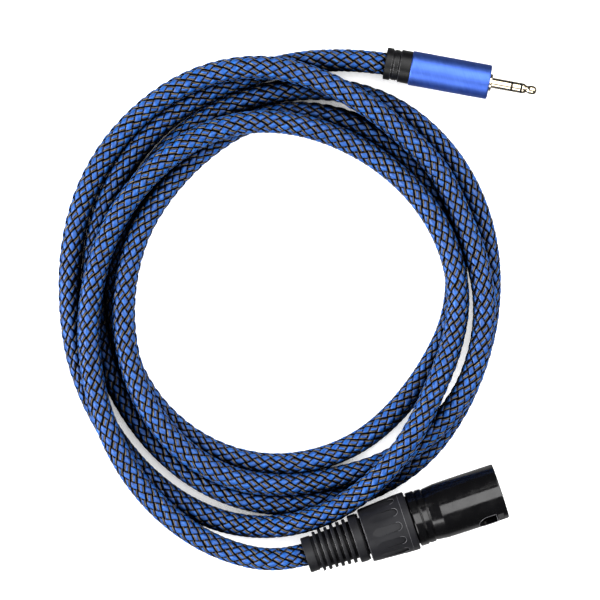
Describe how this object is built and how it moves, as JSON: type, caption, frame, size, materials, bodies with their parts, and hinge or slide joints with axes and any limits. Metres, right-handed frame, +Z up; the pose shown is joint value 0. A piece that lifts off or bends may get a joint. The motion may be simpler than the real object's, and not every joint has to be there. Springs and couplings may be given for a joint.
{
  "type": "coiled audio adapter cable",
  "caption": "Coiled braided audio cable with a three-pin locking connector on one end and a small round audio plug on the other.",
  "frame": {"origin": "middle of the lead's footprint, on the surface that it lies on", "axes": "+Z up from that surface; +X the way the three-pin connector points; +Y towards the small plug's side"},
  "size_m": [0.1796, 0.1779, 0.0202],
  "materials": {
    "braid": "woven jacket, blue and black with olive threads",
    "barrel_blue": "blue anodised",
    "collar_plastic": "matt black",
    "insulator_black": "black",
    "liner_plastic": "natural insulating tube",
    "plug_plate": "bright plate, slightly warm",
    "boot_rubber": "matt black",
    "chuck_plastic": "black moulding",
    "insert_plastic": "black moulding",
    "nut_satin": "satin dark grey",
    "contact_plate": "plated contact",
    "shell_black": "gloss black",
    "core_white": "white insulation",
    "core_red": "red insulation",
    "shield_copper": "tinned copper strands"
  },
  "bodies": {
    "cable": {"cable_coil": "braid", "cable_lead_plug": "braid", "cable_lead_xlr": "braid", "plug_cable_end": "braid", "plug_insulator_front": "insulator_black", "plug_insulator_rear": "insulator_black", "plug_ring": "plug_plate", "plug_sleeve": "plug_plate", "plug_tip": "plug_plate", "plug_wire_ring": "core_white", "plug_wire_shield": "shield_copper", "plug_wire_tip": "core_red", "xlr_cable_end": "braid", "xlr_chuck": "chuck_plastic", "xlr_insert": "insert_plastic", "xlr_pin_cold": "contact_plate", "xlr_pin_ground": "contact_plate", "xlr_pin_hot": "contact_plate", "xlr_shell": "shell_black", "xlr_wire_cold": "core_white", "xlr_wire_hot": "core_red", "xlr_wire_shield": "shield_copper"},
    "boot": {"xlr_boot": "boot_rubber"},
    "nut": {"xlr_nut": "nut_satin"},
    "collar": {"plug_collar": "collar_plastic"},
    "barrel": {"plug_barrel": "barrel_blue", "plug_liner": "liner_plastic"}
  },
  "joints": [
    {"name": "xlr_boot_slide", "type": "slide", "parent": "cable", "child": "boot", "axis": [-1, 0, 0], "range_m": [0, 0.005]},
    {"name": "xlr_nut_turn", "type": "hinge", "parent": "boot", "child": "nut", "pos_m": [-0.0044, -0.0789, 0.0101], "axis": [-1, 0, 0], "range_deg": [0, 1800]},
    {"name": "plug_collar_slide", "type": "slide", "parent": "cable", "child": "collar", "axis": [-0.8763, 0.4818, 0], "range_m": [0, 0.003]},
    {"name": "plug_barrel_turn", "type": "hinge", "parent": "collar", "child": "barrel", "pos_m": [0.06123, 0.06087, 0.00585], "axis": [-0.8763, 0.4818, 0], "range_deg": [0, 1350]}
  ],
  "couplings": [
    {"joint": "xlr_nut_turn", "follows": "xlr_boot_slide", "rad_per_m": 6283.1},
    {"joint": "plug_barrel_turn", "follows": "plug_collar_slide", "rad_per_m": 7853.9}
  ]
}
